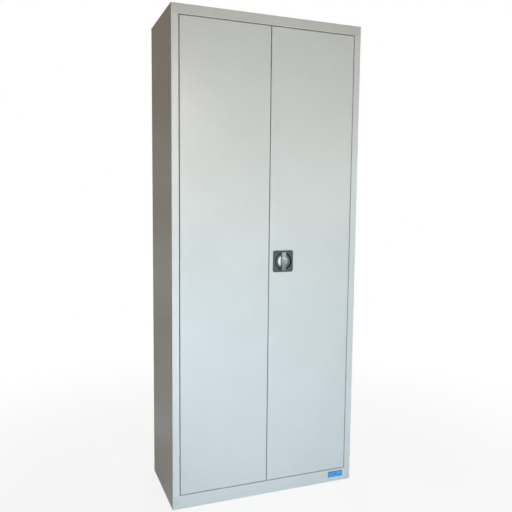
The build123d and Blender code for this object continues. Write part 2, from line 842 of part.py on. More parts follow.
def rack_bar(reach, layer, turn):
    """A flat bar that rises on the pinion's left with teeth cut in its edge, turned about the axis."""
    passing = gear_teeth // 4
    slope = tan(radians(pressure_angle))
    half_root = tooth_thickness / 2 + (rack_root - pitch_radius) * slope
    half_tip = tooth_thickness / 2 - (pitch_radius - rack_tip) * slope
    back = rack_root + rod_width
    bottom = -(passing + rack_spare_teeth + 1) * tooth_pitch
    taper_start = reach - rod_tip_taper
    points = [
        (-back, bottom),
        (-back, taper_start),
        (-back + rod_tip_narrowing, reach),
        (-rack_root - rod_tip_narrowing, reach),
        (-rack_root, taper_start),
    ]
    for index in range(rack_spare_teeth, -passing - rack_spare_teeth - 1, -1):
        middle = index * tooth_pitch
        points += [
            (-rack_root, middle + half_root),
            (-rack_tip, middle + half_tip),
            (-rack_tip, middle - half_tip),
            (-rack_root, middle - half_root),
        ]
    points.append((-rack_root, bottom))
    bar = extrude(make_face(Polyline(*points, close=True)), layer[1] - layer[0])
    return on_lock(Rot(0, 0, turn) * Pos(0, 0, layer[0]) * bar)


def upper_rod():
    """The rod that shoots up into the soffit."""
    return rack_bar(door_top - rod_tip_recess - lock_z, front_layer, 0)


def lower_rod():
    """The rod that shoots down into the ledge."""
    return rack_bar(lock_z - door_bottom - rod_tip_recess, front_layer, 180)


def side_bolt():
    """The bolt that shoots through both doors' free edges."""
    return rack_bar(lock_edge_distance - side_bolt_tip_inset, rear_layer, 90)


def guide(x, z):
    """A bracket behind a door's face with a window that a rod or a door bolt slides in."""
    window_x = span_about(x, rod_width / 2 + slide_clearance)
    outer_x = span_about(x, rod_width / 2 + slide_clearance + guide_sheet)
    near = front - front_layer[1] - slide_clearance
    far = front - front_layer[0] + slide_clearance
    z_span = span_about(z, guide_length / 2)
    bracket = block(outer_x, (front + sheet, far + guide_sheet), z_span)
    foot_y = (front + sheet + guide_sheet, near - guide_sheet)
    return bracket - block(window_x, (near, far), z_span) - block(window_x, foot_y, z_span)


def rod_guides():
    """The brackets along both rods."""
    start = base_plate_size / 2
    up, down = door_top - lock_z - start, lock_z - door_bottom - start
    guides = [guide(lock_x - rod_offset, lock_z + start + share * up) for share in rod_guide_shares]
    guides += [guide(lock_x + rod_offset, lock_z - start - share * down) for share in rod_guide_shares]
    return group(guides)


# The left door's own bolts


def door_bolt_middle():
    """The height of the upper door bolt's middle over the doors' middle."""
    return door_top - rod_tip_recess - door_bolt_length / 2 - door_middle


def upper_bolt_bar():
    """The upper door bolt's bar, drawn back."""
    half_width_bar, half_length = rod_width / 2, door_bolt_length / 2
    taper_start = half_length - rod_tip_taper
    points = [
        (-half_width_bar, -half_length),
        (half_width_bar, -half_length),
        (half_width_bar, taper_start),
        (half_width_bar - rod_tip_narrowing, half_length),
        (-half_width_bar + rod_tip_narrowing, half_length),
        (-half_width_bar, taper_start),
    ]
    bar = extrude(make_face(Polyline(*points, close=True)), rod_thickness)
    plane = face_plane(-door_bolt_x, door_middle + door_bolt_middle())
    return plane * Pos(0, 0, front_layer[0]) * bar


def upper_bolt_knob():
    """The round knob that a hand pushes."""
    knob = round_bar(door_bolt_knob_radius, front_layer[0] - door_bolt_knob_height, front_layer[0])
    knob = chamfer(knob.edges().sort_by(Axis.Z)[0], door_bolt_knob_chamfer)
    return face_plane(-door_bolt_x, door_middle + door_bolt_middle()) * knob


def left_bolt_guides():
    """Two brackets for each of the left door's bolts."""
    offset = door_bolt_guide_spacing / 2
    heights = [door_bolt_middle() - offset, door_bolt_middle() + offset]
    heights += [-height for height in heights]
    return group(guide(-door_bolt_x, door_middle + height) for height in heights)


def upside_down(shape):
    """The same piece at the bottom of the door."""
    return mirror(shape, about=Plane.XY.offset(door_middle))


def build_nodes():
    """Every piece of the cabinet by the name of its node."""
    front_upright, rear_upright = left_upright(upright_front), left_upright(upright_rear)
    frame_leaves = left_hinge_pieces(frame_leaf())
    door_leaves = left_hinge_pieces(door_leaf())
    pins = left_hinge_pieces(hinge_pin())
    side = left_side_panel()
    stiffener = left_door_stiffener()
    nodes = {
        "left_side_panel": side,
        "right_side_panel": mirrored(side),
        "top_panel": top_panel(),
        "base_panel": base_panel(),
        "back_panel": back_panel(),
        "left_front_upright": front_upright,
        "left_rear_upright": rear_upright,
        "right_front_upright": mirrored(front_upright),
        "right_rear_upright": mirrored(rear_upright),
        "door_buffers": door_buffers(),
        "left_frame_hinge_leaves": group(frame_leaves),
        "right_frame_hinge_leaves": group(mirrored(leaf) for leaf in frame_leaves),
        "left_hinge_pins": group(pins),
        "right_hinge_pins": group(mirrored(pin) for pin in pins),
        "left_door_panel": left_door_panel(),
        "left_door_stiffener": stiffener,
        "left_door_hinge_leaves": group(door_leaves),
        "left_bolt_guides": left_bolt_guides(),
        "left_upper_bolt_bar": upper_bolt_bar(),
        "left_upper_bolt_knob": upper_bolt_knob(),
        "left_lower_bolt_bar": upside_down(upper_bolt_bar()),
        "left_lower_bolt_knob": upside_down(upper_bolt_knob()),
        "right_door_panel": right_door_panel(),
        "right_door_stiffener": mirrored(stiffener),
        "right_door_hinge_leaves": group(mirrored(leaf) for leaf in door_leaves),
        "rod_guides": rod_guides(),
        "lock_rose": lock_rose(),
        "lock_base_plate": base_plate(),
        "lock_cover": lock_cover(),
        "rose_screws": rose_screws(),
        "cover_screws": cover_screws(),
        "handle_disc": handle_disc(),
        "handle_grip": handle_grip(),
        "lock_cylinder": lock_cylinder(),
        "handle_spindle": handle_spindle(),
        "rack_pinion": rack_pinion(),
        "spindle_washer": spindle_washer(),
        "retaining_screw": retaining_screw(),
        "cylinder_plug": cylinder_plug(),
        "plug_cam": plug_cam(),
        "upper_rod": upper_rod(),
        "lower_rod": lower_rod(),
        "side_bolt": side_bolt(),
    }
    for number, (top, bottom) in enumerate(zip(shelf_tops, clip_bottoms), start=1):
        nodes[f"shelf_{number}"] = shelf(top)
        nodes[f"shelf_clips_{number}"] = shelf_clips(bottom)
    return nodes


os.makedirs("parts", exist_ok=True)
for node_name, node_shape in build_nodes().items():
    export_step(node_shape, f"parts/{node_name}.step")
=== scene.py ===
import logging
import math
from abc import ABC, abstractmethod
from collections.abc import Callable
from dataclasses import dataclass
from enum import Enum

import bmesh
import bpy
from mathutils import Matrix, Vector


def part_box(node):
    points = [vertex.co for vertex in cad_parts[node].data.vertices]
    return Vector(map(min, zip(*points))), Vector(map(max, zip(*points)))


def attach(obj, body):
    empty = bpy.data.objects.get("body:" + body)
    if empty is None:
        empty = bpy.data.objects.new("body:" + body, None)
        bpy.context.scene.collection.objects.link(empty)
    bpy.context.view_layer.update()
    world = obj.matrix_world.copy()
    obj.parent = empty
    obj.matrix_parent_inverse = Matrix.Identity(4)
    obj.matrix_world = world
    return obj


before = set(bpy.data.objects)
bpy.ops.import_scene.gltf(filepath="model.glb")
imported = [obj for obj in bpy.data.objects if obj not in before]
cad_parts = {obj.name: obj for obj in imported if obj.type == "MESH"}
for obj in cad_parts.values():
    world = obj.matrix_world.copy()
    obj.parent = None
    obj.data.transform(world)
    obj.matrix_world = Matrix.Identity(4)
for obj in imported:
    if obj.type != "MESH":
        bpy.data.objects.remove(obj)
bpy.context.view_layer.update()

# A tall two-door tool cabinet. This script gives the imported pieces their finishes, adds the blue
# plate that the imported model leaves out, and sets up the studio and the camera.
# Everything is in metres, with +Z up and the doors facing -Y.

MM = 0.001

Colour = tuple[float, float, float]
Triple = tuple[float, float, float]
Span = tuple[float, float]
Socket = bpy.types.NodeSocket

# Ranges that a noise or a mask is carried from or into
UP: Span = (0.0, 1.0)
DOWN: Span = (1.0, 0.0)
WIDE_BAND: Span = (0.3, 0.7)
MIDDLE_BAND: Span = (0.35, 0.65)
UPPER_BAND: Span = (0.45, 0.75)
RUBBED_BAND: Span = (0.35, 0.70)

# Finer layers of a noise, and how strong they are
FEW_LAYERS = 1.0
SOME_LAYERS = 2.0
MORE_LAYERS = 3.0
MANY_LAYERS = 4.0
SOFT_NOISE = 0.5
ROUGH_NOISE = 0.7

WHITE: Colour = (1.0, 1.0, 1.0)

# How far apart points of a mesh may be and still count as level, in one plane or at the foot
SAME_LEVEL = 0.01 * MM
SAME_PLANE = 0.1 * MM
SAME_FOOT = 1.0 * MM

# A face whose normal goes below this along Y looks out through the cabinet's front
NEARLY_OUT = -0.9
FLAT_OUT = -0.99

log = logging.getLogger("tool_cabinet")


class Body(Enum):
    """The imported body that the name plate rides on."""

    CARCASS = "carcass"


class Side(Enum):
    """A side of the cabinet, for someone who looks at its doors."""

    LEFT = "left"
    RIGHT = "right"


class Axis(Enum):
    """A coordinate that a row of welds or a brushed grain runs along."""

    X = 0
    Y = 1
    Z = 2


# Finishes


class NodeGraph:
    """A tree of shader nodes, added and joined by short calls."""

    def __init__(self, tree: bpy.types.NodeTree) -> None:
        """Empties the tree.

        Args:
            tree: The tree to fill.
        """
        self.tree = tree
        self.tree.nodes.clear()

    def feed(self, socket: Socket, value: object) -> None:
        """Links a socket to another socket, or sets its constant.

        Args:
            socket: The input to feed.
            value: An output socket, a number, a vector or a colour.
        """
        if isinstance(value, bpy.types.NodeSocket):
            self.tree.links.new(value, socket)
        elif socket.type == "RGBA":
            socket.default_value = (*value, 1.0)
        else:
            socket.default_value = value

    def add(self, kind: str, inputs: dict[str, object], **settings: object) -> bpy.types.Node:
        """Adds a node.

        Args:
            kind: The node's type name.
            inputs: What each named input gets.
            **settings: Properties of the node itself.

        Returns:
            The node.
        """
        node = self.tree.nodes.new(kind)
        for name, value in settings.items():
            setattr(node, name, value)
        for name, value in inputs.items():
            self.feed(node.inputs[name], value)
        return node

    def place(self, centre: Triple = (0.0, 0.0, 0.0), scale: Triple = (1.0, 1.0, 1.0)) -> Socket:
        """Object coordinates, counted from a centre and stretched.

        Args:
            centre: The point that becomes the origin.
            scale: How much each coordinate is multiplied.

        Returns:
            The vector socket.
        """
        coordinates = self.add("ShaderNodeTexCoord", {})
        shift = tuple(-c * s for c, s in zip(centre, scale))
        mapping = self.add(
            "ShaderNodeMapping",
            {"Vector": coordinates.outputs["Object"], "Location": shift, "Scale": scale},
        )
        return mapping.outputs["Vector"]

    def noise(
        self, place: Socket, size: float, detail: float = SOME_LAYERS, rough: float = SOFT_NOISE
    ) -> Socket:
        """Soft noise whose blotches are about as wide as the size.

        Args:
            place: The coordinates it reads.
            size: The width of a blotch, in metres.
            detail: How many finer layers it has.
            rough: How strong the finer layers are.

        Returns:
            The factor socket.
        """
        node = self.add(
            "ShaderNodeTexNoise",
            {"Vector": place, "Scale": 1.0 / size, "Detail": detail, "Roughness": rough},
        )
        return node.outputs[0]

    def cells(self, place: Socket, size: float) -> Socket:
        """Crystal-like cells, each with its own random value.

        Args:
            place: The coordinates it reads.
            size: The width of a cell, in metres.

        Returns:
            A value from 0 to 1 for each cell.
        """
        node = self.add("ShaderNodeTexVoronoi", {"Vector": place, "Scale": 1.0 / size})
        split = self.add("ShaderNodeSeparateColor", {"Color": node.outputs["Color"]})
        return split.outputs[0]

    def math(self, operation: str, first: object, second: object = 0.0) -> Socket:
        """The result of one sum.

        Args:
            operation: The math node's operation.
            first: Its first term.
            second: Its second term.

        Returns:
            The value socket.
        """
        node = self.tree.nodes.new("ShaderNodeMath")
        node.operation = operation
        self.feed(node.inputs[0], first)
        self.feed(node.inputs[1], second)
        return node.outputs[0]

    def ranged(self, value: Socket, before: Span, after: Span) -> Socket:
        """A value carried from one range into another, and held inside it.

        Args:
            value: The value.
            before: The range that it comes in.
            after: The range that it goes out in.

        Returns:
            The result socket.
        """
        inputs = {
            "Value": value,
            "From Min": before[0],
            "From Max": before[1],
            "To Min": after[0],
            "To Max": after[1],
        }
        return self.add("ShaderNodeMapRange", inputs, interpolation_type="SMOOTHSTEP").outputs[0]

    def mixed(self, factor: Socket, first: object, second: object) -> Socket:
        """Two colours mixed.

        Args:
            factor: How much of the second colour shows.
            first: The colour at 0.
            second: The colour at 1.

        Returns:
            The colour socket.
        """
        node = self.tree.nodes.new("ShaderNodeMix")
        node.data_type = "RGBA"
        colour_inputs = [socket for socket in node.inputs if socket.type == "RGBA"]
        self.feed(node.inputs[0], factor)
        self.feed(colour_inputs[0], first)
        self.feed(colour_inputs[1], second)
        return next(socket for socket in node.outputs if socket.type == "RGBA")

    def parts(self, vector: Socket) -> list[Socket]:
        """The three coordinates of a vector."""
        return list(self.add("ShaderNodeSeparateXYZ", {"Vector": vector}).outputs)

    def length(self, vector: Socket) -> Socket:
        """The length of a vector."""
        return self.add("ShaderNodeVectorMath", {0: vector}, operation="LENGTH").outputs["Value"]

    def bump(self, height: Socket, distance: float, under: Socket | None = None) -> Socket:
        """A normal bent by a height.

        Args:
            height: The height, from 0 to 1.
            distance: How deep 1 is, in metres.
            under: A coarser bump that this one lies on.

        Returns:
            The normal socket.
        """
        inputs = {"Height": height, "Distance": distance}
        if under is not None:
            inputs["Normal"] = under
        return self.add("ShaderNodeBump", inputs).outputs[0]

    def blend(self, share: Socket, first: bpy.types.Node, second: bpy.types.Node) -> bpy.types.Node:
        """Two shaders mixed.

        Args:
            share: How much of the second shader shows.
            first: The shader at 0.
            second: The shader at 1.

        Returns:
            The mixing node.
        """
        mix = self.add("ShaderNodeMixShader", {"Fac": share})
        self.tree.links.new(first.outputs[0], mix.inputs[1])
        self.tree.links.new(second.outputs[0], mix.inputs[2])
        return mix

    def show(self, shader: bpy.types.Node, kind: str) -> None:
        """Leads a shader to the tree's output.

        Args:
            shader: The shader node.
            kind: The output node's type name.
        """
        output = self.tree.nodes.new(kind)
        self.tree.links.new(shader.outputs[0], output.inputs["Surface"])

    def seen_directly(self) -> Socket:
        """1 for camera, glossy and transmission rays, and 0 for rays that carry light on.

        Returns:
            The value socket.
        """
        rays = self.add("ShaderNodeLightPath", {})
        near = self.math("MAXIMUM", rays.outputs["Is Camera Ray"], rays.outputs["Is Glossy Ray"])
        return self.math("MAXIMUM", near, rays.outputs["Is Transmission Ray"])


class MaterialGraph(NodeGraph):
    """The nodes of a new material."""

    def __init__(self, name: str) -> None:
        """Starts an empty material.

        Args:
            name: The material's name.
        """
        self.material = bpy.data.materials.new(name)
        self.material.use_nodes = True
        super().__init__(self.material.node_tree)

    def close(self, shader: bpy.types.Node) -> bpy.types.Material:
        """Leads a shader to the material's surface.

        Args:
            shader: The shader node.

        Returns:
            The material.
        """
        self.show(shader, "ShaderNodeOutputMaterial")
        return self.material

    def finish(self, inputs: dict[str, object]) -> bpy.types.Material:
        """Closes the graph with a Principled shader whose named inputs get what is given."""
        return self.close(self.add("ShaderNodeBsdfPrincipled", inputs))


class Finish(ABC):
    """A finish that can be put on pieces."""

    @abstractmethod
    def material(self) -> bpy.types.Material:
        """Makes the material.

        Returns:
            The material.
        """


@dataclass(frozen=True)
class WeldRow:
    """A straight row of shallow spot-weld prints."""

    along: Axis
    across: Axis
    level: float
    pitch: float
    both_sides: bool = False
    print_radius: float = 3.2 * MM

    def height(self, graph: NodeGraph, place: Socket) -> Socket:
        """The prints as a height, 1 in the middle of a print and 0 outside it.

        Args:
            graph: The graph that it is added to.
            place: Object coordinates.

        Returns:
            The height socket.
        """
        coordinates = graph.parts(place)
        across = coordinates[self.across.value]
        if self.both_sides:
            across = graph.math("ABSOLUTE", across)
        off_row = graph.math("SUBTRACT", across, self.level)
        off_print = graph.math("PINGPONG", coordinates[self.along.value], self.pitch / 2)
        flat = graph.add("ShaderNodeCombineXYZ", {"X": off_row, "Y": off_print})
        return graph.ranged(
            graph.length(flat.outputs[0]),
            (self.print_radius / 2, self.print_radius),
            DOWN,
        )


@dataclass(frozen=True)
class PowderCoat(Finish):
    """Light grey powder coat on sheet steel, with its orange peel and the sheet's slow waves."""

    name: str
    shift: Triple = (0.0, 0.0, 0.0)
    colour: Colour = (0.618, 0.640, 0.628)
    thin_colour: Colour = (0.603, 0.626, 0.613)
    soiled_colour: Colour = (0.52, 0.525, 0.50)
    soil_share: float = 0.05
    soil_band: Span = (0.45, 0.80)
    roughness: Span = (0.29, 0.33)
    gloss: float = 0.45
    cloud_size: float = 0.16
    smear_size: float = 0.05
    peel_size: float = 2.4 * MM
    peel_depth: float = 0.05 * MM
    wave_size: float = 0.42
    wave_depth: float = 1.6 * MM
    weld_depth: float = 0.22 * MM
    welds: tuple[WeldRow, ...] = ()

    def colours(self, graph: NodeGraph, place: Socket) -> Socket:
        """The coat's colour, a little thinner in clouds and faintly soiled in smears.

        Args:
            graph: The graph that it is added to.
            place: Object coordinates.

        Returns:
            The colour socket.
        """
        clouds = graph.ranged(graph.noise(place, self.cloud_size, MORE_LAYERS), MIDDLE_BAND, UP)
        coat = graph.mixed(clouds, self.colour, self.thin_colour)
        smears = graph.noise(place, self.smear_size, MORE_LAYERS)
        soil = graph.ranged(smears, self.soil_band, (0.0, self.soil_share))
        return graph.mixed(soil, coat, self.soiled_colour)

    def relief(self, graph: NodeGraph, place: Socket) -> Socket:
        """The coat's normal: slow waves, weld prints and orange peel.

        Args:
            graph: The graph that it is added to.
            place: Object coordinates.

        Returns:
            The normal socket.
        """
        normal = graph.bump(graph.noise(place, self.wave_size, 0.0), self.wave_depth)
        for row in self.welds:
            prints = graph.math("MULTIPLY", row.height(graph, graph.place()), -1.0)
            normal = graph.bump(prints, self.weld_depth, normal)
        return graph.bump(graph.noise(place, self.peel_size, FEW_LAYERS), self.peel_depth, normal)

    def material(self) -> bpy.types.Material:
        """Makes the material.

        Returns:
            The material.
        """
        graph = MaterialGraph(self.name)
        place = graph.place(self.shift)
        patches = graph.noise(place, self.cloud_size)
        return graph.finish(
            {
                "Base Color": self.colours(graph, place),
                "Roughness": graph.ranged(patches, WIDE_BAND, self.roughness),
                "Specular IOR Level": self.gloss,
                "Normal": self.relief(graph, place),
            }
        )


@dataclass(frozen=True)
class ZincPlate(Finish):
    """Bright zinc plate with fine crystals and a dull film in patches."""

    name: str = "zinc_plate"
    light: Colour = (0.66, 0.68, 0.70)
    dark: Colour = (0.50, 0.52, 0.55)
    film: Colour = (0.60, 0.57, 0.50)
    crystal_size: float = 3.0 * MM
    film_size: float = 30.0 * MM
    film_share: float = 0.5
    roughness: Span = (0.28, 0.46)
    pit_size: float = 1.0 * MM
    pit_depth: float = 0.02 * MM

    def material(self) -> bpy.types.Material:
        """Makes the material.

        Returns:
            The material.
        """
        graph = MaterialGraph(self.name)
        place = graph.place()
        crystals = graph.cells(place, self.crystal_size)
        metal = graph.mixed(crystals, self.light, self.dark)
        patches = graph.noise(place, self.film_size, MANY_LAYERS)
        film = graph.ranged(patches, UPPER_BAND, (0.0, self.film_share))
        return graph.finish(
            {
                "Base Color": graph.mixed(film, metal, self.film),
                "Metallic": 1.0,
                "Roughness": graph.ranged(crystals, UP, self.roughness),
                "Normal": graph.bump(graph.noise(place, self.pit_size), self.pit_depth),
            }
        )


@dataclass(frozen=True)
class DrawnSteel(Finish):
    """Bright steel with drawing lines along one axis."""

    name: str
    grain: Axis
    light: Colour = (0.60, 0.60, 0.60)
    dark: Colour = (0.42, 0.42, 0.43)
    line_size: float = 0.7 * MM
    stretch: float = 0.02
    roughness: Span = (0.22, 0.38)
    line_depth: float = 0.02 * MM

    def material(self) -> bpy.types.Material:
        """Makes the material.

        Returns:
            The material.
        """
        graph = MaterialGraph(self.name)
        scale = tuple(self.stretch if axis is self.grain else 1.0 for axis in Axis)
        lines = graph.noise(graph.place(scale=scale), self.line_size, MORE_LAYERS)
        return graph.finish(
            {
                "Base Color": graph.mixed(lines, self.dark, self.light),
                "Metallic": 1.0,
                "Roughness": graph.ranged(lines, WIDE_BAND, self.roughness),
                "Normal": graph.bump(lines, self.line_depth),
            }
        )


@dataclass(frozen=True)
class OiledGearSteel(Finish):
    """Dark gear steel with a film of oil that gathers in blotches."""

    name: str = "gear_steel"
    bare: Colour = (0.34, 0.34, 0.35)
    oiled: Colour = (0.20, 0.17, 0.12)
    blotch_size: float = 6.0 * MM
    oil_band: Span = (0.4, 0.7)
    oil_share: float = 0.8
    roughness: Span = (0.45, 0.20)
    pit_size: float = 0.75 * MM
    pit_depth: float = 0.03 * MM

    def material(self) -> bpy.types.Material:
        """Makes the material.

        Returns:
            The material.
        """
        graph = MaterialGraph(self.name)
        place = graph.place()
        blotches = graph.noise(place, self.blotch_size, MANY_LAYERS)
        oil = graph.ranged(blotches, self.oil_band, (0.0, self.oil_share))
        return graph.finish(
            {
                "Base Color": graph.mixed(oil, self.bare, self.oiled),
                "Metallic": 1.0,
                "Roughness": graph.ranged(blotches, MIDDLE_BAND, self.roughness),
                "Normal": graph.bump(graph.noise(place, self.pit_size), self.pit_depth),
            }
        )


@dataclass(frozen=True)
class GrainedPlastic(Finish):
    """Charcoal moulding with a fine spark-eroded grain, rubbed lighter in places, with painted
    shade in the groove round the disc.
    """

    name: str
    axis_point: Triple
    colour: Colour
    rubbed: Colour
    grain_size: float = 0.7 * MM
    grain_depth: float = 0.05 * MM
    rub_size: float = 14.0 * MM
    rub_layers: float = 5.0
    rub_noise: float = 0.6
    rub_share: float = 0.35
    roughness: Span = (0.55, 0.38)
    gloss: float = 0.32
    groove: Span = (31.6 * MM, 36.3 * MM)
    groove_level: float = 3.4 * MM
    # Painted shade: the groove is coloured near black and its gloss is cut, standing in for the
    # shadow inside it.
    groove_shade_colour: Colour = (0.006, 0.007, 0.008)
    groove_shade_gloss: float = 0.04

    def groove_shade_mask(self, graph: NodeGraph) -> Socket:
        """1 in the groove between the rose and the disc, where the painted shade goes, and 0
        outside it.

        Args:
            graph: The graph that it is added to.

        Returns:
            The mask socket.
        """
        radial = graph.length(graph.place(self.axis_point, (1.0, 0.0, 1.0)))
        outwards = graph.parts(graph.place(self.axis_point, (1.0, -1.0, 1.0)))[1]
        past_disc = graph.math("GREATER_THAN", radial, self.groove[0])
        in_bore = graph.math("LESS_THAN", radial, self.groove[1])
        sunk = graph.math("LESS_THAN", outwards, self.groove_level)
        return graph.math("MULTIPLY", graph.math("MULTIPLY", past_disc, in_bore), sunk)

    def material(self) -> bpy.types.Material:
        """Makes the material.

        Returns:
            The material.
        """
        graph = MaterialGraph(self.name)
        place = graph.place()
        rubs = graph.noise(place, self.rub_size, self.rub_layers, self.rub_noise)
        rub_mask = graph.ranged(rubs, UPPER_BAND, (0.0, self.rub_share))
        moulding = graph.mixed(rub_mask, self.colour, self.rubbed)
        # Painted shade: the moulding turns near black in the groove.
        groove = self.groove_shade_mask(graph)
        return graph.finish(
            {
                "Base Color": graph.mixed(groove, moulding, self.groove_shade_colour),
                "Roughness": graph.ranged(rubs, RUBBED_BAND, self.roughness),
                "Specular IOR Level": graph.ranged(groove, UP, (self.gloss, self.groove_shade_gloss)),
                "Normal": graph.bump(graph.noise(place, self.grain_size), self.grain_depth),
            }
        )


@dataclass(frozen=True)
class GripFinish(Finish):
    """Satin grey bar over a finger bowl that carries a painted bright reflection on its left half
    and painted shade, with light marks of painted reflection, on its right half.

    The masks are drawn round the lock's axis, on the door's front face.
    """

    axis_point: Triple
    name: str = "grip_plastic"
    bar_colour: Colour = (0.145, 0.162, 0.158)
    bar_pale_colour: Colour = (0.35, 0.372, 0.365)
    blotch_size: float = 4.0 * MM
    blotch_share: float = 0.6
    upward_paling: float = 4.0
    pale_band: Span = (0.38, 0.62)
    # Painted reflection and shade: the bowl's left half is near white for the reflection on it, and
    # its right half is dark for shade, with light marks of painted reflection.
    bowl_reflection_colour: Colour = (0.90, 0.92, 0.95)
    bowl_shade_colour: Colour = (0.17, 0.185, 0.185)
    reflection_mark_colour: Colour = (0.74, 0.77, 0.76)
    bowl_radius: float = 23.5 * MM
    bowl_shift: float = 4.2 * MM
    bowl_edge: float = 0.5 * MM
    bowl_level: float = 2.2 * MM
    bowl_level_edge: float = 1.4 * MM
    half_blend: Span = (-2.0 * MM, 2.0 * MM)
    mark_size: float = 9.0 * MM
    mark_band: Span = (0.49, 0.55)
    mark_share: float = 0.9
    brush_size: float = 0.5 * MM
    brush_stretch: float = 0.06
    brush_depth: float = 0.03 * MM
    roughness: Span = (0.30, 0.45)
    gloss: float = 0.45

    def bowl_mask(self, graph: NodeGraph) -> Socket:
        """1 on the bowl's floor and 0 on the bar and the rim.

        Args:
            graph: The graph that it is added to.

        Returns:
            The mask socket.
        """
        across, _, up = graph.parts(graph.place(self.axis_point))
        moved = graph.math("ADD", graph.math("ABSOLUTE", across), self.bowl_shift)
        flat = graph.add("ShaderNodeCombineXYZ", {"X": moved, "Y": up})
        inner, outer = self.bowl_radius - self.bowl_edge, self.bowl_radius + self.bowl_edge
        near_axis = graph.ranged(graph.length(flat.outputs[0]), (inner, outer), DOWN)
        outwards = graph.parts(graph.place(self.axis_point, (1.0, -1.0, 1.0)))[1]
        low, high = self.bowl_level, self.bowl_level + self.bowl_level_edge
        return graph.math("MULTIPLY", near_axis, graph.ranged(outwards, (low, high), DOWN))

    def bowl(self, graph: NodeGraph, place: Socket) -> Socket:
        """The bowl's colour: a painted bright reflection on the left, and on the right painted
        shade broken by light marks of painted reflection.

        Args:
            graph: The graph that it is added to.
            place: Coordinates counted from the lock's axis.

        Returns:
            The colour socket.
        """
        # The left half gets the painted reflection, the right half painted shade with reflected
        # marks.
        to_right = graph.ranged(graph.parts(place)[0], self.half_blend, UP)
        noise = graph.noise(place, self.mark_size, SOME_LAYERS, ROUGH_NOISE)
        marks = graph.ranged(noise, self.mark_band, (0.0, self.mark_share))
        shaded_half = graph.mixed(marks, self.bowl_shade_colour, self.reflection_mark_colour)
        return graph.mixed(to_right, self.bowl_reflection_colour, shaded_half)

    def bar(self, graph: NodeGraph, place: Socket, lines: Socket) -> Socket:
        """The bar's colour: mottled blotches over brushed lines, lighter towards its top.

        Args:
            graph: The graph that it is added to.
            place: Coordinates counted from the lock's axis.
            lines: The brushed lines.

        Returns:
            The colour socket.
        """
        fine = graph.math("MULTIPLY", lines, 1.0 - self.blotch_share)
        blotches = graph.noise(place, self.blotch_size, MANY_LAYERS, ROUGH_NOISE)
        mottled = graph.math("ADD", graph.math("MULTIPLY", blotches, self.blotch_share), fine)
        # Height is added to the mottling, so the bar turns lighter towards its top.
        higher = graph.math("MULTIPLY", graph.parts(place)[2], self.upward_paling)
        paled = graph.ranged(graph.math("ADD", mottled, higher), self.pale_band, UP)
        return graph.mixed(paled, self.bar_colour, self.bar_pale_colour)

    def material(self) -> bpy.types.Material:
        """Makes the material.

        Returns:
            The material.
        """
        graph = MaterialGraph(self.name)
        place = graph.place(self.axis_point)
        brushed = graph.place(self.axis_point, (1.0, 1.0, self.brush_stretch))
        lines = graph.noise(brushed, self.brush_size, MORE_LAYERS)
        bar, bowl = self.bar(graph, place, lines), self.bowl(graph, place)
        return graph.finish(
            {
                "Base Color": graph.mixed(self.bowl_mask(graph), bar, bowl),
                "Roughness": graph.ranged(lines, WIDE_BAND, self.roughness),
                "Specular IOR Level": self.gloss,
                "Normal": graph.bump(lines, self.brush_depth),
            }
        )


@dataclass(frozen=True)
class TurnedChrome(Finish):
    """Chrome on a turned face: fine rings round an axis, with rubbed patches."""

    name: str
    axis_point: Triple
    bright: Colour = (0.78, 0.79, 0.80)
    dull: Colour = (0.50, 0.51, 0.52)
    ring_pitch: float = 0.55 * MM
    ring_depth: float = 0.02 * MM
    rub_size: float = 3.0 * MM
    rub_share: float = 0.7
    roughness: Span = (0.10, 0.28)

    def material(self) -> bpy.types.Material:
        """Makes the material.

        Returns:
            The material.
        """
        graph = MaterialGraph(self.name)
        radial = graph.length(graph.place(self.axis_point, (1.0, 0.0, 1.0)))
        rings = graph.math("PINGPONG", radial, self.ring_pitch / 2)
        ring_height = graph.math("DIVIDE", rings, self.ring_pitch / 2)
        rubs = graph.noise(graph.place(self.axis_point), self.rub_size, MORE_LAYERS)
        rubbed = graph.ranged(rubs, UPPER_BAND, (0.0, self.rub_share))
        return graph.finish(
            {
                "Base Color": graph.mixed(rubbed, self.bright, self.dull),
                "Metallic": 1.0,
                "Roughness": graph.ranged(rubs, RUBBED_BAND, self.roughness),
                "Normal": graph.bump(ring_height, self.ring_depth),
            }
        )


@dataclass(frozen=True)
class BufferRubber(Finish):
    """Soft dark rubber with a dusty bloom."""

    name: str = "buffer_rubber"
    colour: Colour = (0.035, 0.035, 0.037)
    bloom: Colour = (0.12, 0.12, 0.118)
    bloom_size: float = 5.0 * MM
    bloom_band: Span = (0.5, 0.8)
    bloom_share: float = 0.6
    grain_size: float = 0.4 * MM
    grain_depth: float = 0.04 * MM
    roughness: Span = (0.70, 0.90)

    def material(self) -> bpy.types.Material:
        """Makes the material.

        Returns:
            The material.
        """
        graph = MaterialGraph(self.name)
        place = graph.place()
        bloom = graph.noise(place, self.bloom_size, MANY_LAYERS)
        dust = graph.ranged(bloom, self.bloom_band, (0.0, self.bloom_share))
        grain = graph.noise(place, self.grain_size, FEW_LAYERS)
        return graph.finish(
            {
                "Base Color": graph.mixed(dust, self.colour, self.bloom),
                "Roughness": graph.ranged(bloom, WIDE_BAND, self.roughness),
                "Normal": graph.bump(grain, self.grain_depth),
            }
        )


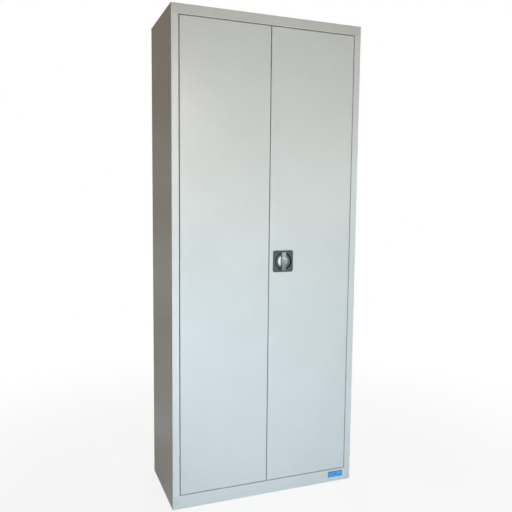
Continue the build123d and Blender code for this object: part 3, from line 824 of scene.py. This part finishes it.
@dataclass(frozen=True)
class PlateEnamel(Finish):
    """Enamel on the name plate, with faint streaks along it."""

    name: str
    colour: Colour
    streak_colour: Colour
    streak_size: float = 2.5 * MM
    streak_stretch: float = 0.15
    streak_band: Span = (0.40, 0.70)
    roughness: Span = (0.22, 0.34)
    gloss: float = 0.5
    ripple_depth: float = 0.02 * MM

    def material(self) -> bpy.types.Material:
        """Makes the material.

        Returns:
            The material.
        """
        graph = MaterialGraph(self.name)
        streaked = graph.place(scale=(self.streak_stretch, 1.0, 1.0))
        streaks = graph.noise(streaked, self.streak_size, MORE_LAYERS)
        mask = graph.ranged(streaks, self.streak_band, UP)
        return graph.finish(
            {
                "Base Color": graph.mixed(mask, self.colour, self.streak_colour),
                "Roughness": graph.ranged(streaks, WIDE_BAND, self.roughness),
                "Specular IOR Level": self.gloss,
                "Normal": graph.bump(streaks, self.ripple_depth),
            }
        )


def dress(material: bpy.types.Material, *nodes: str) -> None:
    """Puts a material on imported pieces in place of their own.

    Args:
        material: The material.
        *nodes: The pieces' names.
    """
    for name in nodes:
        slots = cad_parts[name].data.materials
        slots.clear()
        slots.append(material)


# Modelling by hand


def clear_selection() -> None:
    """Leaves nothing selected."""
    bpy.ops.object.select_all(action="DESELECT")


def new_block(name: str, centre: Vector, size: Vector) -> bpy.types.Object:
    """Adds a block with its place and size in its mesh, ready to be shaped.

    Args:
        name: The piece's name.
        centre: Its middle.
        size: Its full size along each axis.

    Returns:
        The object, which is the only one selected.
    """
    clear_selection()
    bpy.ops.mesh.primitive_cube_add(size=1.0, location=centre, scale=size)
    piece = bpy.context.object
    piece.name = name
    piece.data.name = name
    bpy.ops.object.transform_apply(location=True, rotation=True, scale=True)
    return piece


def select_where(piece: bpy.types.Object, mode: str, wanted: Callable[[object], bool]) -> None:
    """Selects faces or edges of the piece that is in edit mode.

    Args:
        piece: The piece.
        mode: FACE or EDGE.
        wanted: Whether a face or edge is selected.
    """
    bpy.ops.mesh.select_mode(type=mode)
    bpy.ops.mesh.select_all(action="DESELECT")
    mesh = bmesh.from_edit_mesh(piece.data)
    for part in mesh.faces if mode == "FACE" else mesh.edges:
        part.select_set(wanted(part))
    mesh.select_flush_mode()
    bmesh.update_edit_mesh(piece.data)


# Sub-assemblies


@dataclass
class Carcass:
    """The fixed part: walls, roof, plinth, back, uprights, shelves and door buffers."""

    weld_pitch: float = 0.12
    flange_middle: float = 7.5 * MM
    # Painted highlight: the left side panel, its front stile included, gets a lighter copy of the
    # grey coat, which stands in for the sheen on the stile.
    lit_left_wall: PowderCoat = PowderCoat(
        "coat_left_side_lit", (0.0, 0.3, 0.7), (0.655, 0.678, 0.665), (0.640, 0.664, 0.650)
    )
    right_wall: PowderCoat = PowderCoat("coat_right_side", (1.9, 0.4, 0.2))
    # Painted shade: the roof and its front header get a darker, warmer copy of the grey coat, which
    # stands in for the dimmer, warmer light at the top of the front.
    roof: PowderCoat = PowderCoat(
        "coat_roof_shaded", (0.6, 1.3, 0.0), (0.580, 0.578, 0.560), (0.568, 0.565, 0.548)
    )
    base: PowderCoat = PowderCoat("coat_base", (0.9, 2.1, 0.4))
    back_shift: Triple = (3.1, 0.0, 0.5)
    upright_coat: PowderCoat = PowderCoat("coat_uprights", (0.0, 4.2, 0.3))
    tray_coat: PowderCoat = PowderCoat("coat_shelves", (2.2, 0.6, 1.1))

    def back_welds(self) -> tuple[WeldRow, ...]:
        """The rows of weld prints that fix the back sheet to the flanges behind it.

        Returns:
            The rows.
        """
        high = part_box("back_panel")[1]
        side_level, roof_level = high.x - self.flange_middle, high.z - self.flange_middle
        floor_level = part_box("base_panel")[1].z - self.flange_middle
        return (
            WeldRow(Axis.Z, Axis.X, side_level, self.weld_pitch, both_sides=True),
            WeldRow(Axis.X, Axis.Z, roof_level, self.weld_pitch),
            WeldRow(Axis.X, Axis.Z, floor_level, self.weld_pitch),
        )

    def dress(self) -> None:
        """Finishes every fixed piece."""
        dress(self.lit_left_wall.material(), "left_side_panel")
        dress(self.right_wall.material(), "right_side_panel")
        dress(self.roof.material(), "top_panel")
        dress(self.base.material(), "base_panel")
        back = PowderCoat("coat_back", self.back_shift, welds=self.back_welds())
        dress(back.material(), "back_panel")
        uprights = [f"{side.value}_{end}_upright" for side in Side for end in ("front", "rear")]
        dress(self.upright_coat.material(), *uprights)
        shelves = sorted(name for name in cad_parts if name.startswith("shelf_"))
        trays = [name for name in shelves if "clips" not in name]
        clips = [name for name in shelves if "clips" in name]
        dress(self.tray_coat.material(), *trays)
        dress(ZincPlate("zinc_clips").material(), *clips)
        dress(BufferRubber().material(), "door_buffers")
        log.info("carcass: %d shelves dressed", len(trays))


@dataclass
class NamePlate:
    """The small blue plate at the right end of the plinth, left bare, with a raised border."""

    width: float = 68.5 * MM
    height: float = 25.0 * MM
    thickness: float = 1.2 * MM
    from_right: float = 73.0 * MM
    middle_height: float = 33.7 * MM
    corner: float = 2.0 * MM
    corner_segments: int = 4
    border: float = 2.2 * MM
    recess: float = 0.35 * MM
    edge_round: float = 0.125 * MM
    edge_segments: int = 2
    smooth_angle: float = math.radians(35)
    rim_angle: float = math.radians(30)
    border_paint: PlateEnamel = PlateEnamel(
        "plate_border", (0.012, 0.155, 0.46), (0.018, 0.20, 0.54)
    )
    field_paint: PlateEnamel = PlateEnamel("plate_field", (0.045, 0.33, 0.76), (0.09, 0.42, 0.84))

    def build(self) -> bpy.types.Object:
        """Models the plate on the plinth.

        Returns:
            The plate.
        """
        plinth_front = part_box("base_panel")[0].y
        walls_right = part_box("right_side_panel")[1].x
        centre = Vector(
            (walls_right - self.from_right, plinth_front - self.thickness / 2, self.middle_height)
        )
        front = centre.y - self.thickness / 2
        rims = (front, front + self.recess)
        plate = new_block("name_plate", centre, Vector((self.width, self.thickness, self.height)))
        bpy.ops.object.mode_set(mode="EDIT")
        select_where(plate, "EDGE", self.through_plate)
        bpy.ops.mesh.bevel(offset=self.corner, segments=self.corner_segments)
        select_where(plate, "FACE", lambda face: self.faces_out(face, front))
        bpy.ops.mesh.inset(thickness=self.border)
        bpy.ops.mesh.extrude_region_move(TRANSFORM_OT_translate={"value": (0.0, self.recess, 0.0)})
        select_where(plate, "EDGE", lambda edge: self.on_rim(edge, rims))
        bpy.ops.mesh.bevel(offset=self.edge_round, segments=self.edge_segments)
        bpy.ops.object.mode_set(mode="OBJECT")
        return plate

    def through_plate(self, edge: bmesh.types.BMEdge) -> bool:
        """Whether an edge runs through the plate from front to back."""
        return abs((edge.verts[0].co - edge.verts[1].co).y) > self.thickness / 2

    @staticmethod
    def faces_out(face: bmesh.types.BMFace, front: float) -> bool:
        """Whether a face lies in the plate's front and looks outwards.

        Args:
            face: The face.
            front: The front's place along Y.

        Returns:
            True for such a face.
        """
        return face.normal.y < NEARLY_OUT and abs(face.calc_center_median().y - front) < SAME_PLANE

    def on_rim(self, edge: bmesh.types.BMEdge, levels: Span) -> bool:
        """Whether an edge lies in one of the levels between a flat face and an upright one.

        Args:
            edge: The edge.
            levels: The two levels along Y.

        Returns:
            True for such an edge.
        """
        flat = any(all(abs(v.co.y - level) < SAME_LEVEL for v in edge.verts) for level in levels)
        return flat and edge.is_manifold and edge.calc_face_angle(0.0) > self.rim_angle

    def paint(self, plate: bpy.types.Object) -> None:
        """Enamels the border and the sunk field.

        Args:
            plate: The plate.
        """
        plate.data.materials.append(self.border_paint.material())
        plate.data.materials.append(self.field_paint.material())
        front = min(vertex.co.y for vertex in plate.data.vertices)
        field_level = front + self.recess - SAME_LEVEL
        for face in plate.data.polygons:
            sunk = face.center.y > field_level and face.normal.y < FLAT_OUT
            face.material_index = 1 if sunk else 0
        clear_selection()
        plate.select_set(True)
        bpy.context.view_layer.objects.active = plate
        bpy.ops.object.shade_smooth_by_angle(angle=self.smooth_angle)

    def add(self) -> None:
        """Builds, paints and mounts the plate."""
        plate = self.build()
        self.paint(plate)
        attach(plate, Body.CARCASS.value)
        log.info("name plate: %d faces", len(plate.data.polygons))


@dataclass
class Hinges:
    """The concealed hinges of both doors."""

    leaves: ZincPlate = ZincPlate("zinc_hinges")
    pins: DrawnSteel = DrawnSteel("bright_pins", Axis.Z)

    def dress(self) -> None:
        """Finishes the leaves and the pins."""
        zinc, steel = self.leaves.material(), self.pins.material()
        for side in Side:
            dress(zinc, f"{side.value}_frame_hinge_leaves", f"{side.value}_door_hinge_leaves")
            dress(steel, f"{side.value}_hinge_pins")
        log.info("hinges: leaves and pins dressed")


@dataclass
class Doors:
    """Both doors with their stiffeners, and the left door's hand bolts."""

    left_shift: Triple = (0.2, 0.0, 0.3)
    right_shift: Triple = (-1.3, 0.7, 0.9)

    def dress(self) -> None:
        """Finishes the doors' sheets, guides and bolts."""
        left = PowderCoat("coat_left_door", self.left_shift).material()
        right = PowderCoat("coat_right_door", self.right_shift).material()
        dress(left, "left_door_panel", "left_door_stiffener")
        dress(right, "right_door_panel", "right_door_stiffener")
        dress(ZincPlate("zinc_guides").material(), "left_bolt_guides", "rod_guides")
        bar = DrawnSteel("bright_bolts", Axis.Z).material()
        for end in ("upper", "lower"):
            low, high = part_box(f"left_{end}_bolt_knob")
            knob = TurnedChrome(f"{end}_bolt_knob", tuple((low + high) / 2))
            dress(bar, f"left_{end}_bolt_bar")
            dress(knob.material(), f"left_{end}_bolt_knob")
        log.info("doors: sheets and hand bolts dressed")


@dataclass
class Lock:
    """The rose, the turn handle with its cylinder, and the rack and pinion works."""

    rose_colour: Colour = (0.058, 0.070, 0.073)
    rose_rubbed: Colour = (0.10, 0.115, 0.118)
    disc_colour: Colour = (0.072, 0.082, 0.088)
    disc_rubbed: Colour = (0.17, 0.18, 0.182)
    keyhole_height: float = 12.0 * MM
    housing_bright: Colour = (0.34, 0.35, 0.35)
    housing_dull: Colour = (0.16, 0.17, 0.17)
    housing_roughness: Span = (0.22, 0.42)
    plug_bright: Colour = (0.40, 0.41, 0.40)
    plug_dull: Colour = (0.22, 0.23, 0.22)

    def axis_point(self) -> Vector:
        """Where the lock's axis meets the doors' front face.

        Returns:
            The point.
        """
        low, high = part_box("lock_rose")
        door_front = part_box("right_door_panel")[0].y
        return Vector(((low.x + high.x) / 2, door_front, (low.z + high.z) / 2))

    def dress_outside(self, axis: Vector) -> None:
        """Finishes the rose, the turn handle and its cylinder.

        Args:
            axis: Where the lock's axis meets the doors' front face.
        """
        centre = tuple(axis)
        rose = GrainedPlastic("charcoal_rose", centre, self.rose_colour, self.rose_rubbed)
        disc = GrainedPlastic("dark_disc", centre, self.disc_colour, self.disc_rubbed)
        dress(rose.material(), "lock_rose")
        dress(disc.material(), "handle_disc")
        dress(GripFinish(centre).material(), "handle_grip")
        keyhole = tuple(axis + Vector((0.0, 0.0, self.keyhole_height)))
        housing = TurnedChrome(
            "cylinder_chrome",
            keyhole,
            self.housing_bright,
            self.housing_dull,
            roughness=self.housing_roughness,
        )
        dress(housing.material(), "lock_cylinder")
        plug = TurnedChrome("cylinder_plug", keyhole, self.plug_bright, self.plug_dull)
        dress(plug.material(), "cylinder_plug")

    def dress(self) -> None:
        """Finishes every piece of the lock."""
        axis = self.axis_point()
        self.dress_outside(axis)
        zinc = ZincPlate("zinc_lock").material()
        dress(zinc, "plug_cam", "lock_base_plate", "lock_cover", "rose_screws", "cover_screws")
        dress(zinc, "spindle_washer", "retaining_screw")
        dress(DrawnSteel("bright_spindle", Axis.Y).material(), "handle_spindle")
        dress(OiledGearSteel().material(), "rack_pinion")
        dress(DrawnSteel("bright_rods", Axis.Z).material(), "upper_rod", "lower_rod")
        dress(DrawnSteel("bright_side_bolt", Axis.X).material(), "side_bolt")
        log.info("lock: dressed round x %.4f, y %.4f, z %.4f", *axis)


# Studio


@dataclass(frozen=True)
class SoftLamp:
    """A square soft lamp that points at the cabinet."""

    name: str
    place: Triple
    aim: Triple
    size: float
    power: float
    colour: Colour = WHITE
    reflected: bool = True

    def add(self) -> None:
        """Hangs the lamp."""
        data = bpy.data.lights.new(self.name, "AREA")
        data.shape = "SQUARE"
        data.size = self.size
        data.energy = self.power
        data.color = self.colour
        lamp = bpy.data.objects.new(self.name, data)
        lamp.location = self.place
        aimed = Vector(self.aim) - Vector(self.place)
        lamp.rotation_euler = aimed.to_track_quat("-Z", "Y").to_euler()
        lamp.visible_camera = False
        lamp.visible_glossy = self.reflected
        bpy.context.scene.collection.objects.link(lamp)


@dataclass
class Studio:
    """A white floor and backdrop, a card that only reflections see, and soft lamps."""

    floor_reach: float = 30.0
    floor_colour: Colour = (0.82, 0.82, 0.82)
    floor_white_share: float = 0.86
    shadow_reach: Span = (0.8, 2.2)
    ambient: float = 0.05
    warm_sky: Colour = (1.0, 0.90, 0.80)
    cool_ground: Colour = (0.90, 0.97, 1.0)
    sky_band: Span = (-0.5, 0.6)
    card_ends: tuple[Span, Span] = ((-0.401, 1.6), (-2.6, 0.9))
    card_height: float = 4.5
    card_foot: float = 0.003
    card_apron: float = 2.1
    card_low: Colour = (0.30, 0.30, 0.30)
    card_high: Colour = (0.24, 0.13, 0.06)
    card_blotch: float = 0.5
    card_blotch_colour: Colour = (0.16, 0.12, 0.10)
    lamps: tuple[SoftLamp, ...] = (
        SoftLamp(
            "middle_left_key", (-0.35, -2.0, 0.9), (-0.2, -0.18, 0.9), 0.7, 5.8, (0.98, 1.0, 0.90)
        ),
        SoftLamp(
            "low_left_key", (-0.35, -1.9, 0.2), (-0.2, -0.18, 0.3), 0.7, 16.8, (0.62, 0.79, 1.0)
        ),
        SoftLamp(
            "low_right_key",
            (0.5, -1.9, 0.2),
            (0.3, -0.18, 0.3),
            0.7,
            5.0,
            (0.20, 0.64, 1.0),
            reflected=False,
        ),
        SoftLamp(
            "middle_right_key", (0.5, -2.0, 0.9), (0.3, -0.18, 0.9), 0.7, 2.0, (0.88, 1.0, 0.93)
        ),
        SoftLamp(
            "high_right_key",
            (0.5, -2.0, 1.5),
            (0.3, -0.18, 1.4),
            0.7,
            2.6,
            (1.0, 0.80, 0.52),
            reflected=False,
        ),
        SoftLamp(
            "high_sheen", (-0.08, -1.95, 1.85), (-0.35, -0.18, 1.5), 0.4, 6.9, (1.0, 0.84, 0.71)
        ),
        SoftLamp(
            "middle_sheen", (-0.02, -1.95, 1.35), (-0.35, -0.18, 1.3), 0.4, 3.8, (1.0, 0.91, 0.79)
        ),
        SoftLamp("right_sheen", (1.3, -1.95, 1.38), (0.32, -0.18, 1.3), 0.5, 2.9, (1.0, 1.0, 0.93)),
        SoftLamp(
            "left_high_fill",
            (-2.2, 0.2, 2.3),
            (-0.4, 0.0, 1.7),
            0.8,
            1.3,
            (1.0, 0.30, 0.12),
            reflected=False,
        ),
        SoftLamp("left_fill", (-2.4, 0.2, 1.0), (-0.4, 0.0, 1.0), 1.2, 6.6, (1.0, 0.97, 0.68)),
        SoftLamp(
            "left_low_fill",
            (-2.2, 0.0, 0.3),
            (-0.4, 0.0, 0.4),
            0.8,
            1.4,
            (0.15, 0.30, 1.0),
            reflected=False,
        ),
        SoftLamp("right_fill", (1.9, -0.1, 1.3), (0.4, 0.0, 1.0), 1.2, 7.0),
        SoftLamp("back_fill", (0.5, 1.9, 1.3), (0.1, 0.18, 1.0), 1.2, 22.0, reflected=False),
        SoftLamp("top_fill", (0.1, 0.1, 3.2), (0.0, 0.0, 1.95), 0.9, 8.0),
    )

    def floor(self) -> None:
        """Lays the floor, which shows white to the camera but keeps the cabinet's shadow."""
        clear_selection()
        bpy.ops.mesh.primitive_plane_add(size=self.floor_reach, location=(0.0, 0.0, 0.0))
        plane = bpy.context.object
        plane.name = "studio_floor"
        graph = MaterialGraph("studio_floor")
        diffuse = graph.add("ShaderNodeBsdfDiffuse", {"Color": self.floor_colour})
        white = graph.add("ShaderNodeEmission", {"Color": WHITE, "Strength": 1.0})
        far = graph.length(graph.place())
        white_share = graph.ranged(far, self.shadow_reach, (self.floor_white_share, 1.0))
        share = graph.math("MULTIPLY", graph.seen_directly(), white_share)
        plane.data.materials.append(graph.close(graph.blend(share, diffuse, white)))

    def room_card(self) -> None:
        """Hangs a dull warm card behind the left wall, which only reflections see."""
        clear_selection()
        bpy.ops.mesh.primitive_plane_add(size=1.0)
        card = bpy.context.object
        card.name = "room_card"
        foot = self.card_foot + SAME_FOOT
        start, end = (Vector((*point, self.card_foot)) for point in self.card_ends)
        rise = Vector((0.0, 0.0, self.card_height))
        for vertex, corner in zip(card.data.vertices, (start, end, start + rise, end + rise)):
            vertex.co = corner
        bpy.ops.object.mode_set(mode="EDIT")
        select_where(card, "EDGE", lambda edge: all(vertex.co.z < foot for vertex in edge.verts))
        forward = (0.0, -self.card_apron, 0.0)
        bpy.ops.mesh.extrude_region_move(TRANSFORM_OT_translate={"value": forward})
        bpy.ops.object.mode_set(mode="OBJECT")
        card.data.materials.append(self.card_material())
        card.visible_camera = False
        card.visible_diffuse = False
        card.visible_shadow = False
        card.visible_transmission = False
        log.info("room card: %d faces", len(card.data.polygons))

    def card_material(self) -> bpy.types.Material:
        """The card's dull glow, warmer towards its top and broken by blotches.

        Returns:
            The material.
        """
        graph = MaterialGraph("room_card")
        place = graph.place()
        rise = graph.ranged(graph.parts(place)[2], (0.0, self.card_height), UP)
        tint = graph.mixed(rise, self.card_low, self.card_high)
        blotches = graph.ranged(graph.noise(place, self.card_blotch), MIDDLE_BAND, UP)
        shade = graph.mixed(blotches, tint, self.card_blotch_colour)
        return graph.close(graph.add("ShaderNodeEmission", {"Color": shade, "Strength": 1.0}))

    def world(self) -> None:
        """Sets a white backdrop over a dim light that is warm above and cool below."""
        world = bpy.data.worlds.new("studio")
        world.use_nodes = True
        graph = NodeGraph(world.node_tree)
        coordinates = graph.add("ShaderNodeTexCoord", {})
        height = graph.parts(coordinates.outputs["Generated"])[2]
        tint = graph.mixed(
            graph.ranged(height, self.sky_band, UP), self.cool_ground, self.warm_sky
        )
        dim = graph.add("ShaderNodeBackground", {"Color": tint, "Strength": self.ambient})
        white = graph.add("ShaderNodeBackground", {"Color": WHITE, "Strength": 1.0})
        graph.show(graph.blend(graph.seen_directly(), dim, white), "ShaderNodeOutputWorld")
        bpy.context.scene.world = world

    def build(self) -> None:
        """Sets up the floor, the card, the backdrop, the lamps and the colour view."""
        self.floor()
        self.room_card()
        self.world()
        for lamp in self.lamps:
            lamp.add()
        bpy.context.scene.view_settings.view_transform = "Standard"
        log.info("studio: %d lamps", len(self.lamps))


@dataclass(frozen=True)
class PhotoCamera:
    """The camera at the photograph's place, level apart from a slight tilt and roll."""

    place: Triple = (-0.8970, -2.3657, 1.2335)
    yaw: float = math.radians(21.074)
    pitch: float = math.radians(-5.517)
    roll: float = math.radians(0.575)
    lens: float = 41.095
    sensor: float = 36.0

    def turned(self) -> Matrix:
        """The camera's rotation.

        Returns:
            A matrix whose columns are the camera's own right, up and backward directions.
        """
        forward = Vector(
            (
                math.sin(self.yaw) * math.cos(self.pitch),
                math.cos(self.yaw) * math.cos(self.pitch),
                math.sin(self.pitch),
            )
        )
        level_right = Vector((math.cos(self.yaw), -math.sin(self.yaw), 0.0))
        level_up = level_right.cross(forward)
        right = level_right * math.cos(self.roll) + level_up * math.sin(self.roll)
        up = level_up * math.cos(self.roll) - level_right * math.sin(self.roll)
        return Matrix((right, up, -forward)).transposed()

    def add(self) -> None:
        """Places the camera and makes it the scene's."""
        data = bpy.data.cameras.new("photo_camera")
        data.lens = self.lens
        data.sensor_width = self.sensor
        camera = bpy.data.objects.new("photo_camera", data)
        camera.matrix_world = Matrix.Translation(self.place) @ self.turned().to_4x4()
        bpy.context.scene.collection.objects.link(camera)
        bpy.context.scene.camera = camera
        log.info("camera: %.1f mm lens", self.lens)


def main() -> None:
    """Builds every sub-assembly in order."""
    logging.basicConfig(level=logging.INFO, format="%(name)s: %(message)s")
    Carcass().dress()
    NamePlate().add()
    Hinges().dress()
    Doors().dress()
    Lock().dress()
    Studio().build()
    PhotoCamera().add()


if __name__ == "__main__":
    main()
